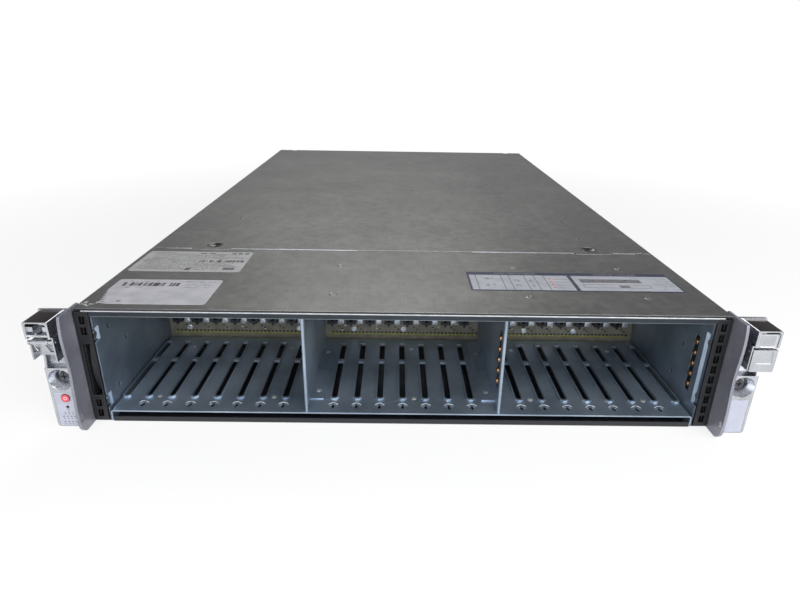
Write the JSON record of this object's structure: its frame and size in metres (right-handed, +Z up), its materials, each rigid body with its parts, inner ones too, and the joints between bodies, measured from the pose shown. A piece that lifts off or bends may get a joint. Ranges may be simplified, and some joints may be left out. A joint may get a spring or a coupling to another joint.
{
  "type": "rack server",
  "caption": "Rack server with an empty front drive cage, slide-off rear cover, latching rack ears, fans and slide-out supplies.",
  "frame": {"origin": "on the underside of the chassis, in the middle of its width and depth", "axes": "+X to the right seen from the front, +Y to the rear along the depth, +Z up"},
  "size_m": [0.4826, 0.7721, 0.0883],
  "materials": {
    "galvanised_steel": "zinc-coated sheet, satin",
    "cover_steel": "zinc-coated sheet with a faint spangle, handled",
    "cage_steel": "zinc-coated sheet, bluish, satin",
    "plated_steel": "bright nickel plating",
    "button_steel": "turned steel",
    "brass": "turned brass",
    "black_plastic": "moulded, fine grain",
    "board_green": "laminate with solder mask",
    "cable_jacket": "flat cable jacket",
    "ear_plating": "zinc casting with satin plating",
    "panel_film": "printed film on a moulded plate",
    "light_lens": "clear lens, unlit",
    "power_red": "moulded button with a printed ring",
    "aluminium": "extruded",
    "tab_orange": "moulded"
  },
  "bodies": {
    "chassis": {"air_shroud": "black_plastic", "backplane_board": "board_green", "backplane_carrier": "galvanised_steel", "board_posts": "brass", "board_sockets": "black_plastic", "brass_contacts": "brass", "cage_floor": "cage_steel", "cage_side_left": "cage_steel", "cage_side_right": "cage_steel", "cage_top": "cage_steel", "chassis_tub": "galvanised_steel", "contact_carriers": "black_plastic", "control_panel": "panel_film", "cover_screws": "plated_steel", "divider_left": "cage_steel", "divider_right": "cage_steel", "drive_connectors": "black_plastic", "ear_left": "ear_plating", "ear_plate_right": "panel_film", "ear_right": "ear_plating", "fan_frames": "black_plastic", "fan_wall": "galvanised_steel", "floor_rivets": "plated_steel", "front_cover": "cover_steel", "heat_sinks": "aluminium", "latch_cover_right": "ear_plating", "latch_housing_left": "ear_plating", "latch_housing_right": "ear_plating", "lever_pins": "plated_steel", "lock_bars": "plated_steel", "lug_screws": "plated_steel", "main_board": "board_green", "memory_modules": "board_green", "memory_sockets": "black_plastic", "panel_cable": "cable_jacket", "port_shells": "plated_steel", "rack_screws": "plated_steel", "rear_panel": "galvanised_steel", "side_frame_left": "black_plastic", "side_frame_right": "black_plastic", "slot_covers": "plated_steel", "status_lights": "light_lens", "supply_cage": "galvanised_steel"},
    "rear_cover": {"rear_cover": "cover_steel", "button_guide_strips": "galvanised_steel"},
    "cover_button_left": {"cover_button_left": "button_steel"},
    "cover_button_right": {"cover_button_right": "button_steel"},
    "release_lever_left": {"release_lever_left": "ear_plating"},
    "release_lever_right": {"release_lever_right": "ear_plating"},
    "power_button": {"power_button": "power_red"},
    "reset_button": {"reset_button": "black_plastic"},
    "impeller_1": {"impeller_1": "black_plastic"},
    "impeller_2": {"impeller_2": "black_plastic"},
    "impeller_3": {"impeller_3": "black_plastic"},
    "supply_1": {"power_supply_1": "galvanised_steel", "supply_handle_1": "plated_steel"},
    "supply_2": {"power_supply_2": "galvanised_steel", "supply_handle_2": "plated_steel"},
    "supply_tab_1": {"supply_tab_1": "tab_orange"},
    "supply_tab_2": {"supply_tab_2": "tab_orange"}
  },
  "joints": [
    {"name": "rear_cover_slide", "type": "slide", "parent": "chassis", "child": "rear_cover", "axis": [0, 1, 0], "range_m": [0, 0.0127]},
    {"name": "release_lever_right_swing", "type": "hinge", "parent": "chassis", "child": "release_lever_right", "pos_m": [0.23335, -0.3802, 0.0704], "axis": [-1, 0, 0], "range_deg": [0, 85]},
    {"name": "release_lever_left_swing", "type": "hinge", "parent": "chassis", "child": "release_lever_left", "pos_m": [-0.23335, -0.3802, 0.0704], "axis": [-1, 0, 0], "range_deg": [0, 85]},
    {"name": "power_button_press", "type": "slide", "parent": "chassis", "child": "power_button", "axis": [0, 1, 0], "range_m": [0, 0.0008], "stiffness_N_per_m": 400},
    {"name": "reset_button_press", "type": "slide", "parent": "chassis", "child": "reset_button", "axis": [0, 1, 0], "range_m": [0, 0.0008], "stiffness_N_per_m": 300},
    {"name": "cover_button_left_press", "type": "slide", "parent": "rear_cover", "child": "cover_button_left", "axis": [0, 0, -1], "range_m": [0, 0.003], "stiffness_N_per_m": 600},
    {"name": "cover_button_right_press", "type": "slide", "parent": "rear_cover", "child": "cover_button_right", "axis": [0, 0, -1], "range_m": [0, 0.003], "stiffness_N_per_m": 600},
    {"name": "impeller_1_spin", "type": "hinge", "parent": "chassis", "child": "impeller_1", "pos_m": [-0.144, -0.11, 0.0412], "axis": [0, 1, 0], "continuous": true},
    {"name": "impeller_2_spin", "type": "hinge", "parent": "chassis", "child": "impeller_2", "pos_m": [-0.024, -0.11, 0.0412], "axis": [0, 1, 0], "continuous": true},
    {"name": "impeller_3_spin", "type": "hinge", "parent": "chassis", "child": "impeller_3", "pos_m": [0.096, -0.11, 0.0412], "axis": [0, 1, 0], "continuous": true},
    {"name": "supply_1_slide", "type": "slide", "parent": "chassis", "child": "supply_1", "axis": [0, 1, 0], "range_m": [0, 0.3]},
    {"name": "supply_tab_1_press", "type": "slide", "parent": "supply_1", "child": "supply_tab_1", "axis": [-1, 0, 0], "range_m": [0, 0.0025], "stiffness_N_per_m": 400},
    {"name": "supply_2_slide", "type": "slide", "parent": "chassis", "child": "supply_2", "axis": [0, 1, 0], "range_m": [0, 0.3]},
    {"name": "supply_tab_2_press", "type": "slide", "parent": "supply_2", "child": "supply_tab_2", "axis": [-1, 0, 0], "range_m": [0, 0.0025], "stiffness_N_per_m": 400}
  ]
}
